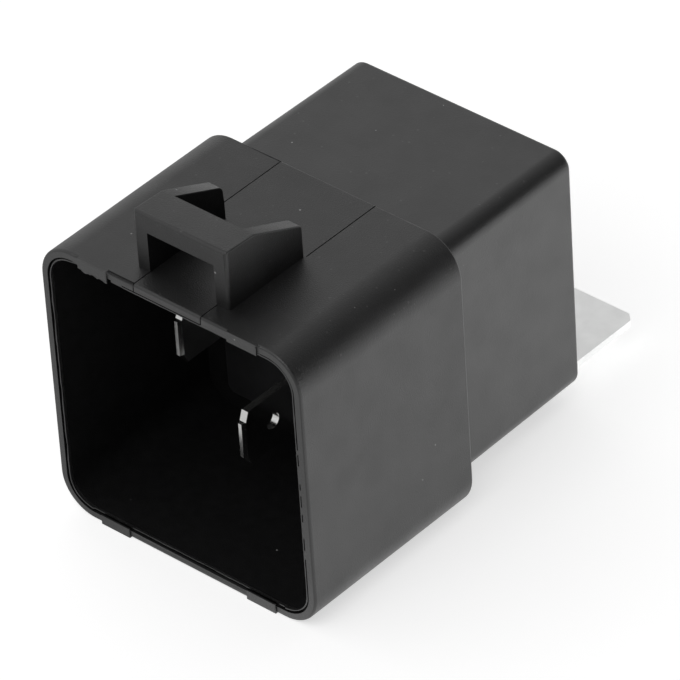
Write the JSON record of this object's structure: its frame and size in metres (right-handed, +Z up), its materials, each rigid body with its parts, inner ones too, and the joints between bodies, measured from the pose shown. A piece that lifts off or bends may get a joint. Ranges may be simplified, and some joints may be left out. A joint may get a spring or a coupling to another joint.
{
  "type": "automotive relay",
  "caption": "Sealed automotive relay with a skirted blade-terminal mouth, a lock loop on top and a steel mounting tab at the back.",
  "frame": {"origin": "centre of the bounding box, on the surface the skirt stands on", "axes": "+X across the relay, +Y from the open mouth to the mounting tab, +Z up towards the lock loop"},
  "size_m": [0.033, 0.0534, 0.0391],
  "materials": {
    "housing_plastic": "fine matte texture",
    "sealant": "cured epoxy",
    "blade_plating": "tin plated, satin",
    "bobbin_plastic": "natural nylon",
    "enamelled_copper": "enamelled",
    "soft_iron": "nickel plated",
    "spring_bronze": "rolled strip",
    "contact_silver": "satin",
    "resistor_coat": "lacquered",
    "zinc_steel": "zinc plated, satin"
  },
  "bodies": {
    "case": {"housing": "housing_plastic", "base_plate": "housing_plastic", "sealant": "sealant", "terminal_30": "blade_plating", "terminal_87": "blade_plating", "terminal_85": "blade_plating", "terminal_86": "blade_plating", "bobbin": "bobbin_plastic", "coil_winding": "enamelled_copper", "core": "soft_iron", "yoke": "soft_iron", "fixed_contact": "contact_silver", "stop_plate": "blade_plating", "spring_rivet_left": "soft_iron", "spring_rivet_right": "soft_iron", "resistor_body": "resistor_coat", "resistor_lead_left": "blade_plating", "resistor_lead_right": "blade_plating", "coil_lead_left": "enamelled_copper", "coil_lead_right": "enamelled_copper", "mounting_tab": "zinc_steel"},
    "armature_unit": {"armature": "soft_iron", "contact_spring": "spring_bronze", "moving_contact": "contact_silver", "armature_rivet_left": "soft_iron", "armature_rivet_right": "soft_iron"}
  },
  "joints": [
    {"name": "armature_hinge", "type": "hinge", "parent": "case", "child": "armature_unit", "pos_m": [0, 0.00955, 0.0043], "axis": [1, 0, 0], "range_deg": [0, 3], "stiffness_Nm_per_rad": 0.1, "springref_deg": -2.86, "deforming": ["contact_spring"]}
  ]
}
